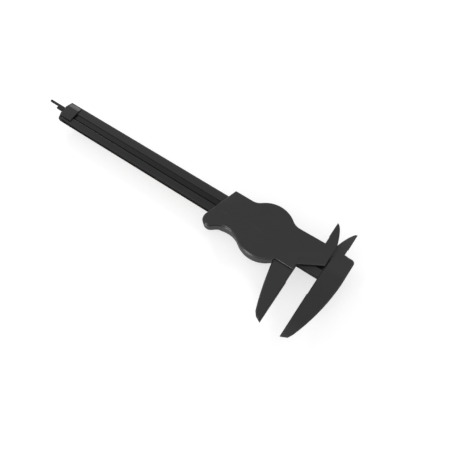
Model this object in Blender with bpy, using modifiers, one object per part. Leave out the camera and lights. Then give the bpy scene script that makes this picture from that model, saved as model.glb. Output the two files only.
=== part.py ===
"""Plastic dial caliper, 0 to 150 mm, lying on its dial with its back up.

Metres, +Z up. X runs along the beam towards the fixed jaw, Y towards the inside nibs.
Lengths along X are measured from a measuring face: the fixed jaw's for the beam's
pieces, the moving jaw's for the slider's. Y is measured from the beam's middle line and
Z from the bezel's rim, on which the caliper lies. The whole is then moved so that the
middle of its bounding box, at the bottom, is the origin.
"""
import math

import bmesh
import bpy
from mathutils import Matrix

# Motion and gearing
opening = 0.0141
travel = 0.150
travel_per_turn = 0.010
pinion_teeth = 10
mesh_clearance = 0.00012

# Gaps
running_gap = 0.0003
seam_gap = 0.0001
cover_seam = 0.0002
fit_gap = 0.0001
overlap = 0.0005
overrun = 0.0010
weld_distance = 0.000001

# Beam
beam_width = 0.0150
beam_thickness = 0.0060
beam_end = 0.2189
beam_end_flat = 0.0026
beam_end_setback = 0.0019
beam_end_drop = 0.0032
rod_groove_width = 0.0046
rod_groove_shift = 0.00035
rod_groove_depth = 0.0024
side_groove_depth = 0.0010
side_groove_height = 0.0052
side_groove_lip = 0.0004
side_groove_inset = 0.0040
side_groove_end = 0.0185
rack_groove_depth = 0.0020

# Head, fixed jaw and fixed nib
head_width = 0.0142
head_top = 0.0130
head_corner = 0.0024
head_lap = 0.0003
jaw_edge = 0.0008
jaw_thickness = 0.0050
jaw_rise = 0.0010
jaw_reach = 0.0500
jaw_relief = 0.0003
jaw_relief_end = 0.0200
jaw_relief_step = 0.0006
jaw_blunt_reach = 0.0448
jaw_blunt_width = 0.0059
jaw_end_corner_reach = 0.0480
jaw_end_corner_width = 0.0042
fixed_bow_start = 0.0030
fixed_bow_shares = (0.94, 0.515)
knife_width = 0.0016
knife_depth = 0.0014
nib_face = 0.00693
nib_tip = 0.0286
nib_blunt_drop = 0.0005
fixed_nib_blunt = 0.0013
moving_nib_blunt = 0.0011
nib_root = 0.0152
nib_relief = 0.0003
nib_relief_end = 0.0175
nib_thickness = 0.0026
nib_shoulder = 0.0002
fixed_nib_bow_shares = (0.41, 0.66)
moving_nib_bow_shares = (0.51, 0.81)

# Slider body and cover
cover_thickness = 0.0012
cover_edge = 0.0003
floor_thickness = 0.0020
body_setback = 0.0008
body_rim = 0.0003
body_hook_rim = 0.0006
body_edge = 0.0005
body_top = 0.0124
arm_top = 0.0127
body_bottom = 0.0126
left_top = 0.0595
left_top_corner = 0.0010
hook_radius = 0.0045
hook_x = 0.0623
hook_y = 0.0128
wing_thickness = 0.0066
wing_root_x = 0.0600
wing_root_y = 0.0142
wing_end_x = 0.0485
wing_end_y = 0.0125
wing_bow_shares = (0.5, 0.94)
valley_radius = 0.0150
dial_x = 0.0284
bulge_radius = 0.0187
bulge_fillet = 0.0088
moving_bow_start = 0.0120
moving_jaw_root = 0.0145
moving_bow_shares = (0.73, 0.61)
moving_blunt_reach = 0.0458
moving_blunt_width = 0.0056
moving_end_corner_reach = 0.0480
moving_end_corner_width = 0.0039
arm_slope_end = 0.0001
arm_slope_drop = 0.0085
arm_bevel_rise = 0.0053
arm_bevel_depth = 0.0008
arm_step_inset = 0.0002
arm_edge_width = 0.0010
arm_edge_depth = 0.0003
cover_rib_width = 0.0010
cover_rib_inset = 0.0016
cover_rib_right = 0.0030

# Guides inside the slider
rib_left = 0.0540
rib_right = 0.0205
gib_left = 0.0515
gib_right = 0.0205
gib_thickness = 0.0014
gib_pocket_depth = 0.0021
gib_spring_thickness = 0.0002
gib_spring_height = 0.0020
gib_spring_bow = 0.0005

# Depth rod and end clip
rod_width = 0.0037
rod_thickness = 0.0016
rod_tip_width = 0.0016
rod_tip_length = 0.0083
rod_anchor_length = 0.0060
rod_sink = 0.0005
rod_shift = 0.00005
rod_peg_radius = 0.0008
clip_length = 0.0107
clip_setback = 0.0012
clip_low_side = 0.0054
clip_slot_width = 0.0008
clip_slot_depth = 0.0010
clip_high_side = 0.0069
clip_bevel = 0.0031
clip_bevel_drop = 0.0006
clip_rise = 0.0008
clip_edge = 0.0002
clip_peg_radius = 0.0008
clip_peg_length = 0.0020
clip_peg_y = 0.0041

# Bezel, crystal and dial plate
bezel_height = 0.0048
bezel_gap = 0.0002
bezel_wall = 0.0013
bezel_corner = 0.0006
knurl_count = 48
knurl_depth = 0.0003
lip_width = 0.0009
lip_thickness = 0.0006
crystal_inset = 0.0003
crystal_wall = 0.0008
crystal_clearance = 0.0003
crystal_floor = 0.0006
crystal_height = 0.0016
crystal_recess = 0.0002
dial_plate_thickness = 0.0005
dial_plate_hole = 0.0012
boss_radius = 0.0150
boss_wall = 0.0018
spring_groove_depth = 0.0006
spring_groove_height = 0.0008
spring_wire_radius = 0.00028
spring_gap_angle = math.radians(24)

# Pointer and its arbor
arbor_radius = 0.0005
arbor_tip_radius = 0.00035
arbor_collar_radius = 0.0009
pinion_length = 0.0014
pointer_thickness = 0.0002
pointer_margin = 0.0020
pointer_tail = 0.0042
pointer_disc = 0.0019
pointer_root_width = 0.0012
pointer_tip_width = 0.0003
hub_radius = 0.0014
hub_cap = 0.0003
hub_neck_radius = 0.0008

# Bridge and bushes
bridge_thickness = 0.0006
bridge_rise = 0.0007
bridge_half_length = 0.0072
bridge_width = 0.0050
bush_radius = 0.0015
bush_flange = 0.0006
bush_flange_thickness = 0.00035

# Rack
rack_back = 0.0040
rack_thickness = 0.0016
rack_tab = 0.0030
spare_teeth = 4

# Screws
cover_screw_head = 0.0014
cover_screw_head_height = 0.0011
cover_screw_shank = 0.0007
cover_screw_bite = 0.0022
cover_peg_radius = 0.0014
cover_peg_length = 0.0030
cover_screw_inset = 0.0023
left_screw_inset = 0.0030
right_screw_inset = 0.0040
small_screw_head = 0.0010
small_screw_head_height = 0.00028
small_screw_shank = 0.00055
small_screw_bite = 0.0008
slot_width = 0.0004
slot_depth_share = 0.45

# Heights above the rim, from the stack of pieces
body_front = bezel_height + bezel_gap
floor_back = body_front + floor_thickness
beam_front = floor_back + running_gap
beam_back = beam_front + beam_thickness
jaw_back = beam_back + jaw_rise
jaw_front = jaw_back - jaw_thickness
cover_inner = jaw_back + running_gap
cover_outer = cover_inner + cover_thickness
body_back = cover_inner - cover_seam
wing_front = body_back - wing_thickness

# Derived places
half_beam = beam_width / 2
channel = half_beam + running_gap
pitch_radius = travel_per_turn / math.tau
module = 2 * pitch_radius / pinion_teeth
tooth_pitch = math.pi * module
rack_spare = spare_teeth * tooth_pitch
pitch_line = -(pitch_radius + mesh_clearance)
clip_left = clip_setback - beam_end
clip_right = clip_left + clip_length
clip_stop = travel + clip_right + running_gap
cover_left = cover_rib_inset - left_top
rod_stop = max(clip_stop, cover_left)
turn_angle = opening / pitch_radius
arm_reach = head_width
bezel_bore = boss_radius + running_gap
bezel_radius = bezel_bore + bezel_wall
crystal_radius = boss_radius - crystal_inset
window_radius = crystal_radius - lip_width
pointer_reach = crystal_radius - crystal_wall - pointer_margin

# Facets and angles
steps_round = 56
steps_small = 20
bow_steps = 9
corner_steps = 5
hook_steps = 9
bulge_steps = 14
fillet_steps = 5
spring_steps = 48
spring_bow_steps = 12
bridge_steps = 10
disc_steps = 8
smooth_angle = math.radians(40)
wire_smooth_angle = math.radians(60)
pressure_angle = math.radians(20)
knurl_shares = (0.0, 0.4, 0.5, 0.9)
addendum_share = 1.0
dedendum_share = 1.25

# Finishes
plastic_colour = (0.041, 0.041, 0.042)
steel_colour = (0.56, 0.57, 0.58)
brass_colour = (0.78, 0.57, 0.25)
spring_colour = (0.40, 0.41, 0.43)
dial_colour = (0.80, 0.79, 0.74)
pointer_colour = (0.05, 0.05, 0.05)
clear_colour = (0.90, 0.92, 0.93)
plastic_roughness = 0.52
steel_roughness = 0.30
brass_roughness = 0.35
spring_roughness = 0.28
clear_roughness = 0.08
dial_roughness = 0.45
paint_roughness = 0.40
clear_alpha = 0.25


def clear_scene():
    for obj in list(bpy.data.objects):
        bpy.data.objects.remove(obj, do_unlink=True)


def new_collection(name):
    collection = bpy.data.collections.new(name)
    bpy.context.scene.collection.children.link(collection)
    return collection


clear_scene()
parts = new_collection("dial_caliper")
cutters = new_collection("cutters")


def new_empty(name, parent, place):
    empty = bpy.data.objects.new(name, None)
    parts.objects.link(empty)
    empty.parent = parent
    empty.location = place
    return empty


def material(name, colour, roughness, metallic, alpha=1.0):
    made = bpy.data.materials.new(name)
    made.use_nodes = True
    shader = made.node_tree.nodes["Principled BSDF"]
    shader.inputs["Base Color"].default_value = (*colour, 1.0)
    shader.inputs["Roughness"].default_value = roughness
    shader.inputs["Metallic"].default_value = metallic
    shader.inputs["Alpha"].default_value = alpha
    return made


def plastic(name):
    return material(name + "_plastic", plastic_colour, plastic_roughness, 0.0)


def steel(name):
    return material(name + "_steel", steel_colour, steel_roughness, 1.0)


def brass(name):
    return material(name + "_brass", brass_colour, brass_roughness, 1.0)


def spring_steel(name):
    return material(name + "_spring_steel", spring_colour, spring_roughness, 1.0)


# Outline helpers: every outline is a list of (x, y) pairs, walked anticlockwise

def arc(centre, radius, start, end, steps):
    """Points on a circle from one angle to another, both ends included."""
    return [
        (centre[0] + radius * math.cos(start + (end - start) * i / steps),
         centre[1] + radius * math.sin(start + (end - start) * i / steps))
        for i in range(steps + 1)
    ]


def bow(start, pull, end, steps):
    """A quadratic curve from start to end, drawn towards the pull point."""
    points = []
    for i in range(steps + 1):
        t = i / steps
        points.append(tuple(
            (1 - t) ** 2 * start[k] + 2 * t * (1 - t) * pull[k] + t * t * end[k] for k in (0, 1)
        ))
    return points


def heading(centre, point):
    """The direction from one place to another."""
    return math.atan2(point[1] - centre[1], point[0] - centre[0])


def where_circles_meet(first, first_radius, second, second_radius, side):
    """The crossing of two circles that lies on one side (1 or -1) of the line between centres."""
    gap = math.dist(first, second)
    along = (gap ** 2 + first_radius ** 2 - second_radius ** 2) / (2 * gap)
    across = math.sqrt(first_radius ** 2 - along ** 2)
    angle = heading(first, second)
    return (first[0] + along * math.cos(angle) - side * across * math.sin(angle),
            first[1] + along * math.sin(angle) + side * across * math.cos(angle))


# Solids

def put(obj, collection, parent, place=(0, 0, 0)):
    """Links an object to its collection and its parent."""
    collection.objects.link(obj)
    obj.parent = parent
    obj.location = place
    return obj


def mesh_of(obj):
    """The evaluated shape of an object as a new welded mesh."""
    bpy.context.view_layer.update()
    evaluated = obj.evaluated_get(bpy.context.evaluated_depsgraph_get())
    mesh = bpy.data.meshes.new_from_object(evaluated)
    shape = bmesh.new()
    shape.from_mesh(mesh)
    bmesh.ops.remove_doubles(shape, verts=shape.verts, dist=weld_distance)
    bmesh.ops.recalc_face_normals(shape, faces=shape.faces)
    shape.to_mesh(mesh)
    shape.free()
    return mesh


def plate(points, low, high, edge=0.0, growth=0.0):
    """A flat outline between two heights, with bevelled edges, its sides moved out by a growth."""
    curve = bpy.data.curves.new("outline", "CURVE")
    curve.dimensions = "2D"
    curve.fill_mode = "BOTH"
    spline = curve.splines.new("POLY")
    spline.points.add(len(points) - 1)
    for point, (x, y) in zip(spline.points, points):
        point.co = (x, y, 0, 1)
    spline.use_cyclic_u = True
    curve.extrude = (high - low) / 2 - edge
    curve.bevel_depth = edge
    curve.bevel_resolution = 0
    curve.offset = growth - edge
    holder = bpy.data.objects.new("outline", curve)
    cutters.objects.link(holder)
    mesh = mesh_of(holder)
    bpy.data.objects.remove(holder, do_unlink=True)
    bpy.data.curves.remove(curve)
    mesh.transform(Matrix.Translation((0, 0, (low + high) / 2)))
    return mesh


def block(x_range, y_range, z_range):
    """A box between the given lowest and highest values."""
    shape = bmesh.new()
    bmesh.ops.create_cube(shape, size=1.0)
    size = [max(r) - min(r) for r in (x_range, y_range, z_range)]
    middle = [(max(r) + min(r)) / 2 for r in (x_range, y_range, z_range)]
    place = Matrix.Translation(middle) @ Matrix.Diagonal((*size, 1))
    bmesh.ops.transform(shape, matrix=place, verts=shape.verts)
    mesh = bpy.data.meshes.new("block")
    shape.to_mesh(mesh)
    shape.free()
    return mesh


def slope_cutter(x_range, y_range, height, point, slopes):
    """A block whose underside is the plane through a point with the given rises along X and Y."""
    mesh = block(x_range, y_range, (0, height))
    lift = point[2] - slopes[0] * point[0] - slopes[1] * point[1]
    mesh.transform(Matrix(((1, 0, 0, 0), (0, 1, 0, 0), (slopes[0], slopes[1], 1, lift), (0, 0, 0, 1))))
    return mesh


def cylinder(centre, radius, low, high, steps=steps_small):
    """A round column between two heights."""
    shape = bmesh.new()
    bmesh.ops.create_cone(shape, cap_ends=True, segments=steps, radius1=radius, radius2=radius,
                          depth=high - low)
    place = Matrix.Translation((centre[0], centre[1], (low + high) / 2))
    bmesh.ops.transform(shape, matrix=place, verts=shape.verts)
    mesh = bpy.data.meshes.new("cylinder")
    shape.to_mesh(mesh)
    shape.free()
    return mesh


def turned(profile, steps, closed):
    """A (radius, height) profile turned about Z. It runs down the outer side, top to bottom."""
    mesh = bpy.data.meshes.new("profile")
    edges = [(i, i + 1) for i in range(len(profile) - 1)]
    if closed:
        edges.append((len(profile) - 1, 0))
    mesh.from_pydata([(r, 0, z) for r, z in profile], edges, [])
    holder = bpy.data.objects.new("profile", mesh)
    cutters.objects.link(holder)
    turn = holder.modifiers.new("Turn", "SCREW")
    turn.axis = "Z"
    turn.steps = steps
    turn.render_steps = steps
    turn.use_merge_vertices = True
    turn.merge_threshold = weld_distance
    made = mesh_of(holder)
    bpy.data.objects.remove(holder, do_unlink=True)
    return made


def node(name, mesh, finish, parent, place=(0, 0, 0), smooth=None):
    """A named piece of the caliper."""
    mesh.name = name
    obj = put(bpy.data.objects.new(name, mesh), parts, parent, place)
    mesh.materials.clear()
    mesh.materials.append(finish)
    if smooth:
        mesh.shade_smooth()
        mesh.set_sharp_from_angle(angle=smooth)
    return obj


def boolean(obj, mesh, operation):
    """Cut a mesh out of a piece, or join it to the piece, in the piece's own frame."""
    tool = put(bpy.data.objects.new(obj.name + "_tool", mesh), cutters, obj.parent, obj.location)
    tool.display_type = "WIRE"
    tool.hide_render = True
    change = obj.modifiers.new(operation.title(), "BOOLEAN")
    change.operation = operation
    change.object = tool
    change.solver = "EXACT"


def cut(obj, mesh):
    boolean(obj, mesh, "DIFFERENCE")


def join(obj, mesh):
    boolean(obj, mesh, "UNION")


# Frames of the four bodies

box_left = beam_end + opening
centre_x = (head_width - box_left) / 2
centre_y = (nib_tip - jaw_reach) / 2
caliper = new_empty("caliper", None, (-centre_x, -centre_y, 0))
slider = new_empty("slider", caliper, (-opening, 0, 0))
bezel_axis = new_empty("bezel_axis", slider, (-dial_x, 0, 0))
pointer_axis = new_empty("pointer_axis", slider, (-dial_x, 0, 0))
pointer_axis.rotation_euler.z = turn_angle


# Outlines of the jaws and nibs

def nib_outline(width, blunt, bow_shares):
    """A nib by (distance from its measuring face, y): its relief, its tip and its curved side."""
    tip = (blunt, nib_tip - nib_blunt_drop)
    root = (width, nib_root)
    pull = tuple(root[k] + bow_shares[k] * (tip[k] - root[k]) for k in (0, 1))
    outline = [(nib_relief, nib_relief_end), (0, nib_relief_end + nib_relief), (0, nib_tip)]
    return outline + bow(tip, pull, root, bow_steps)


def fixed_jaw_edge():
    """The fixed jaw from its relief round the tip, up the curved side and over the head's corner."""
    start = (head_width, -fixed_bow_start)
    end = (jaw_blunt_width, -jaw_blunt_reach)
    fall = fixed_bow_shares[1] * (jaw_blunt_reach - fixed_bow_start)
    pull = (fixed_bow_shares[0] * head_width, -fixed_bow_start - fall)
    corner = (head_width - head_corner, head_top - head_corner)
    edge = [(jaw_relief, -jaw_relief_end), (0, -jaw_relief_end - jaw_relief_step)]
    edge += [(0, -jaw_reach), (jaw_end_corner_width, -jaw_end_corner_reach)]
    edge += bow(end, pull, start, bow_steps)
    return edge + arc(corner, head_corner, 0, math.pi / 2, corner_steps)


def head_left_edge():
    """The head's left edge: it laps a little under the arm beside the beam."""
    step = half_beam + jaw_relief + head_lap
    return [(-head_lap, step), (jaw_relief, half_beam)]


def fixed_jaw_outline():
    """Fixed outside jaw, head plate and fixed nib."""
    nib = nib_outline(nib_face + head_lap, fixed_nib_blunt, fixed_nib_bow_shares)
    outline = fixed_jaw_edge() + [(nib_face - nib_relief, head_top)]
    return outline + [(nib_face - x, y) for x, y in nib] + head_left_edge()


def fixed_jaw_plate():
    """The head, jaw and nib, with a wider bevel round the back of the jaw and head than round the nib."""
    spare = jaw_edge + overrun
    top = nib_tip + spare
    limit = fixed_jaw_edge() + [(nib_face + spare, head_top), (nib_face + spare, top), (-spare, top)]
    limit += [(-spare, half_beam), (jaw_relief, half_beam)]
    return bevelled(plate(fixed_jaw_outline(), jaw_front, jaw_back, cover_edge), limit)


def bevelled(mesh, limit):
    """Cuts a 45 degree bevel along an outline round the back of a plate."""
    holder = put(bpy.data.objects.new("bevelled", mesh), cutters, None)
    low = jaw_front - jaw_edge - overlap - overrun
    boolean(holder, plate(limit, low, jaw_back + overlap, jaw_edge + overlap + overlap, overlap), "INTERSECT")
    made = mesh_of(holder)
    bpy.data.objects.remove(holder, do_unlink=True)
    return made


def knife_cutter(side):
    """Slopes a measuring face's edge from the relief down to the tip; side is 1 for the fixed jaw."""
    start = -jaw_relief_end - jaw_relief_step
    rises = (side * knife_depth / knife_width, knife_depth / (jaw_reach + start))
    height = knife_depth + rises[1] * jaw_reach + overrun
    across = (-side * overrun, side * (knife_width + overrun))
    along = (-jaw_reach - overrun, start)
    return slope_cutter(across, along, height, (0, start, jaw_back), rises)


# Beam and what is fixed to it

def end_edge(y):
    """The back face's end at a distance from its middle line: flat in the middle, then slanted back."""
    return beam_end_setback * max(0, abs(y) - beam_end_flat) / (half_beam - beam_end_flat) - beam_end


def corner_cutter(side):
    """Bevels the back of the beam's end towards a corner; side is 1 towards the nibs."""
    rises = (beam_end_drop / beam_end_setback, -side * beam_end_drop / (half_beam - beam_end_flat))
    across = (-beam_end - overrun, beam_end_setback + overrun - beam_end)
    along = (side * (beam_end_flat - overrun), side * (half_beam + overrun))
    corner = (-beam_end, side * half_beam, beam_back - beam_end_drop)
    return slope_cutter(across, along, beam_thickness + overrun, corner, rises)


def rod_groove_sides():
    middle = -rod_groove_shift
    return middle - rod_groove_width / 2, middle + rod_groove_width / 2


def make_beam():
    """The beam with its head, fixed jaw and fixed nib, its grooves and the holes for what it carries."""
    left = -beam_end
    right = head_width - head_corner
    outline = [(left, -half_beam), (right, -half_beam), (right, half_beam), (left, half_beam)]
    beam = node("beam", plate(outline, beam_front, beam_back), plastic("beam"), caliper)
    join(beam, fixed_jaw_plate())
    cut(beam, block((-overrun, nib_face + overrun), (head_top + nib_shoulder, nib_tip + overrun),
                    (jaw_front - overrun, jaw_back - nib_thickness)))
    cut(beam, knife_cutter(1))
    cut(beam, block((left - overrun, 0), rod_groove_sides(),
                    (beam_back - rod_groove_depth, jaw_back + overrun)))
    cut(beam, block((left - overrun, clip_right), (-clip_low_side - clip_slot_width, -clip_low_side),
                    (beam_back - clip_slot_depth, beam_back + overrun)))
    for side in (-1, 1):
        cut(beam, corner_cutter(side))
        top = beam_back - side_groove_lip
        inner = half_beam - side_groove_depth
        across = (left + side_groove_inset, -side_groove_end)
        sides = (side * inner, side * (half_beam + overrun))
        cut(beam, block(across, sides, (top - side_groove_height, top)))
    rack_left, rack_right = rack_span()
    groove_side = pinion_outer_radius() + running_gap
    cut(beam, block((rack_left - fit_gap, rack_right + fit_gap), (-rack_back - fit_gap, groove_side),
                    (beam_front - overrun, beam_front + rack_groove_depth)))
    for x in rack_screw_places():
        top = rack_screw_top() + fit_gap
        cut(beam, cylinder((x, rack_screw_y()), small_screw_shank + fit_gap, beam_front, top))
    for y in (-clip_peg_y, clip_peg_y):
        low = beam_back - clip_peg_length - fit_gap
        cut(beam, cylinder((clip_peg_x(), y), clip_peg_radius + fit_gap, low, beam_back + overrun))


def pinion_outer_radius():
    return pitch_radius + addendum_share * module


def rack_span():
    """The rack's ends: the teeth that the pinion meets over the whole travel, with spare ones and tabs."""
    right = -dial_x + rack_spare + rack_tab
    left = -dial_x - travel - rack_spare - rack_tab
    return left, right


def rack_screw_places():
    left, right = rack_span()
    return (left + rack_tab / 2, right - rack_tab / 2)


def rack_screw_y():
    return (pitch_line - rack_back) / 2


def rack_low():
    return beam_front + rack_groove_depth - fit_gap - rack_thickness


def rack_screw_top():
    return beam_front + rack_groove_depth + small_screw_bite


def make_rack():
    """The toothed strip, its straight-sided teeth towards the pinion, with a screw tab at each end."""
    left, right = rack_span()
    root = pitch_line - dedendum_share * module
    tip = pitch_line + addendum_share * module
    lean = math.tan(pressure_angle)
    at_root = tooth_pitch / 4 + dedendum_share * module * lean
    at_tip = tooth_pitch / 4 - addendum_share * module * lean
    outline = [(left, root), (left, -rack_back), (right, -rack_back), (right, root)]
    first = -dial_x + rack_spare - tooth_pitch / 2
    count = round((travel + 2 * rack_spare) / tooth_pitch)
    for i in range(count):
        x = first - i * tooth_pitch
        outline += [(x + at_root, root), (x + at_tip, tip), (x - at_tip, tip), (x - at_root, root)]
    rack = node("rack", plate(outline, rack_low(), rack_low() + rack_thickness), brass("rack"), caliper)
    for x in rack_screw_places():
        cut(rack, cylinder((x, rack_screw_y()), small_screw_shank + fit_gap, rack_low() - overrun,
                           beam_front + rack_groove_depth + overrun))


def screw_solid(head_radius, head_low, head_high, shank_radius, end):
    """A slotted screw, its head down and its shank up to the end height."""
    point = shank_radius / 2
    profile = [(0, end), (shank_radius - point, end), (shank_radius, end - point), (shank_radius, head_high),
               (head_radius, head_high), (head_radius, head_low), (0, head_low)]
    return turned(profile, steps_small, False)


def make_screw(name, centre, head_radius, head_low, head_high, shank_radius, end, parent):
    """A screw with a slot across its head."""
    solid = screw_solid(head_radius, head_low, head_high, shank_radius, end)
    screw = node(name, solid, steel(name), parent, (*centre, 0), smooth_angle)
    depth = slot_depth_share * (head_high - head_low)
    cut(screw, block((-head_radius - overrun, head_radius + overrun), (-slot_width / 2, slot_width / 2),
                     (head_low - overrun, head_low + depth)))


def make_rack_screws():
    for name, x in zip(("rack_screw_left", "rack_screw_right"), rack_screw_places()):
        high = rack_low() - fit_gap / 2
        make_screw(name, (x, rack_screw_y()), small_screw_head, high - small_screw_head_height, high,
                   small_screw_shank, rack_screw_top(), caliper)


def clip_peg_x():
    return (clip_left + clip_right) / 2


def make_end_clip():
    """The cap over the far end of the rod's groove; its side towards the nibs slopes down to the beam."""
    low = beam_back + fit_gap / 2
    high = beam_back + clip_rise
    outline = [(clip_left, -beam_end_flat), (end_edge(clip_low_side) + clip_setback, -clip_low_side),
               (clip_right, -clip_low_side), (clip_right, clip_high_side),
               (end_edge(clip_high_side) + clip_setback, clip_high_side), (clip_left, beam_end_flat)]
    clip = node("end_clip", plate(outline, low, high, clip_edge), plastic("end_clip"), caliper)
    along = (clip_left - overrun, clip_right + overrun)
    crest = clip_high_side - clip_bevel
    cut(clip, slope_cutter(along, (crest, clip_high_side + overrun), clip_rise, (0, crest, high),
                           (0, -clip_bevel_drop / clip_bevel)))
    for y in (-clip_peg_y, clip_peg_y):
        join(clip, cylinder((clip_peg_x(), y), clip_peg_radius, beam_back - clip_peg_length, low + clip_edge))


# Slider outlines, in the slider's frame

def hook_centre():
    """The middle of the thumb hook's round."""
    return (-hook_x, -hook_y)


def dial_centre():
    return (-dial_x, 0)


def left_edge_and_hook(hook_rim, rim):
    """From the top left corner down the slanted left edge, round the thumb hook and along the valley."""
    hook = hook_centre()
    dial = dial_centre()
    round_hook = hook_radius + hook_rim
    round_bulge = bulge_radius + rim
    valley = where_circles_meet(hook, round_hook + valley_radius, dial, round_bulge + valley_radius, -1)
    corner_centre = (-left_top + left_top_corner, body_top - left_top_corner)
    reach = math.dist(corner_centre, hook)
    lean = heading(corner_centre, hook)
    spread = math.acos((left_top_corner - round_hook) / reach)
    tangent = lean - spread + math.tau
    points = arc(corner_centre, left_top_corner, math.pi / 2, tangent, corner_steps)
    points += arc(hook, round_hook, tangent, heading(hook, valley) + math.tau, hook_steps)
    points += arc(valley, valley_radius, heading(valley, hook), heading(valley, dial), hook_steps)[1:]
    return points, valley


def bulge_below(valley, rim):
    """Round the lower half of the bulge and its fillet to the straight lower edge."""
    dial = dial_centre()
    radius = bulge_radius + rim
    drop = body_bottom + bulge_fillet
    reach = math.sqrt((radius + bulge_fillet) ** 2 - drop ** 2)
    fillet = (-dial_x + reach, -drop)
    points = arc(dial, radius, heading(dial, valley), heading(dial, fillet), bulge_steps)[1:]
    points += arc(fillet, bulge_fillet, heading(fillet, dial), math.pi / 2, fillet_steps)[1:]
    return points


def bulge_above(rim):
    """From the straight upper edge round the upper half of the bulge, right to left."""
    dial = dial_centre()
    radius = bulge_radius + rim
    rise = body_top + bulge_fillet
    reach = math.sqrt((radius + bulge_fillet) ** 2 - rise ** 2)
    right = (-dial_x + reach, rise)
    left = (-dial_x - reach, rise)
    points = arc(right, bulge_fillet, -math.pi / 2, heading(right, dial), fillet_steps)
    points += arc(dial, radius, heading(dial, right), heading(dial, left), bulge_steps)[1:]
    points += arc(left, bulge_fillet, heading(left, dial), -math.pi / 2, fillet_steps)[1:]
    return points


def body_outline():
    """The body stands out a little past the cover, most of all round the thumb hook."""
    left, valley = left_edge_and_hook(body_hook_rim, body_rim)
    outline = left + bulge_below(valley, body_rim)
    outline += [(-body_setback, -body_bottom), (-body_setback, body_top)]
    return outline + bulge_above(body_rim)


def slope_rise(x):
    """The height of the arm's slanted lower edge at x."""
    run = arm_reach + body_setback
    return -arm_slope_drop + arm_slope_end + arm_slope_drop * (x + body_setback) / run


def cover_outline():
    """The cover with its arm and the moving nib."""
    left, valley = left_edge_and_hook(0, 0)
    nib = nib_outline(arm_reach - nib_face, moving_nib_blunt, moving_nib_bow_shares)
    outline = left + bulge_below(valley, 0)
    outline += [(-body_setback, -body_bottom), (-body_setback, slope_rise(-body_setback))]
    outline += [(arm_reach, arm_slope_end)]
    outline += [(nib_face + x, y) for x, y in reversed(nib)]
    outline += [(nib_face + nib_relief, arm_top)]
    return outline + bulge_above(0)


def moving_jaw_outline():
    """The moving jaw from its root on the body down the curved side and up the measuring face."""
    start = (-moving_jaw_root, -moving_bow_start)
    end = (-moving_blunt_width, -moving_blunt_reach)
    pull = (-moving_bow_shares[0] * moving_jaw_root,
            -moving_bow_start - moving_bow_shares[1] * (moving_blunt_reach - moving_bow_start))
    outline = [(-moving_jaw_root, -channel - seam_gap)]
    outline += bow(start, pull, end, bow_steps)
    outline += [(-moving_end_corner_width, -moving_end_corner_reach), (0, -jaw_reach)]
    outline += [(0, -jaw_relief_end - jaw_relief_step), (-jaw_relief, -jaw_relief_end)]
    outline += [(-jaw_relief, -channel - seam_gap)]
    return outline


# Slider pieces

def wing_cutter():
    """Takes the deep wall away under the thumb hook, which is a thinner wing at the body's back."""
    left = -(hook_x + hook_radius + body_hook_rim + overrun)
    low = -(hook_y + hook_radius + body_hook_rim + overrun)
    start = (-wing_root_x, -wing_root_y)
    end = (-wing_end_x, -wing_end_y)
    pull = tuple(start[k] + wing_bow_shares[k] * (end[k] - start[k]) for k in (0, 1))
    outline = [(left, low), (-wing_end_x, low)] + bow(end, pull, start, bow_steps) + [(left, -wing_root_y)]
    return plate(outline, body_front - overrun, wing_front)


def cover_screw_places():
    """One near each corner of the cover, beside the channel."""
    high = channel + cover_screw_inset
    return {
        "cover_screw_upper_left": (-left_top + left_screw_inset, high),
        "cover_screw_upper_right": (-body_setback - right_screw_inset, high),
        "cover_screw_lower_left": (-left_top + left_screw_inset, -high),
        "cover_screw_lower_right": (-body_setback - right_screw_inset, -high),
    }


def cover_peg_low():
    return cover_inner - cover_peg_length


def cover_screw_end():
    return cover_peg_low() + cover_screw_bite


def guide_heights():
    """The heights between which the rib and the gib run in the beam's side grooves."""
    top = beam_back - side_groove_lip
    return top - side_groove_height + running_gap, top - running_gap


def bridge_screw_places():
    inset = bridge_width / 2
    return ((-dial_x - bridge_half_length + inset, 0), (-dial_x + bridge_half_length - inset, 0))


def make_slider_body():
    """The channel round the beam, with the moving jaw, the guide rib and the dial's boss."""
    shell = plate(body_outline(), body_front, body_back, body_edge)
    body = node("slider_body", shell, plastic("slider_body"), slider)
    left = -(hook_x + hook_radius + body_hook_rim + overrun)
    top = body_back + overrun
    cut(body, block((left, overrun), (-channel, channel), (floor_back, top)))
    cut(body, wing_cutter())
    join(body, plate(moving_jaw_outline(), jaw_front, jaw_back, jaw_edge))
    cut(body, knife_cutter(-1))
    low, high = guide_heights()
    inner = half_beam - side_groove_depth + running_gap
    join(body, block((-rib_left, -rib_right), (-channel - overrun, -inner), (low, high)))
    cut(body, block((-gib_left - running_gap, -gib_right + running_gap),
                    (channel - overrun, channel + gib_pocket_depth),
                    (low - running_gap, high + running_gap)))
    for centre in cover_screw_places().values():
        head_top = body_front + cover_screw_head_height + running_gap
        cut(body, cylinder(centre, cover_screw_head + running_gap, body_front - overrun, head_top))
        cut(body, cylinder(centre, cover_screw_shank + fit_gap, body_front, top))
        cut(body, cylinder(centre, cover_peg_radius + fit_gap, cover_peg_low() - running_gap, top))
    make_dial_boss(body)


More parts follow.
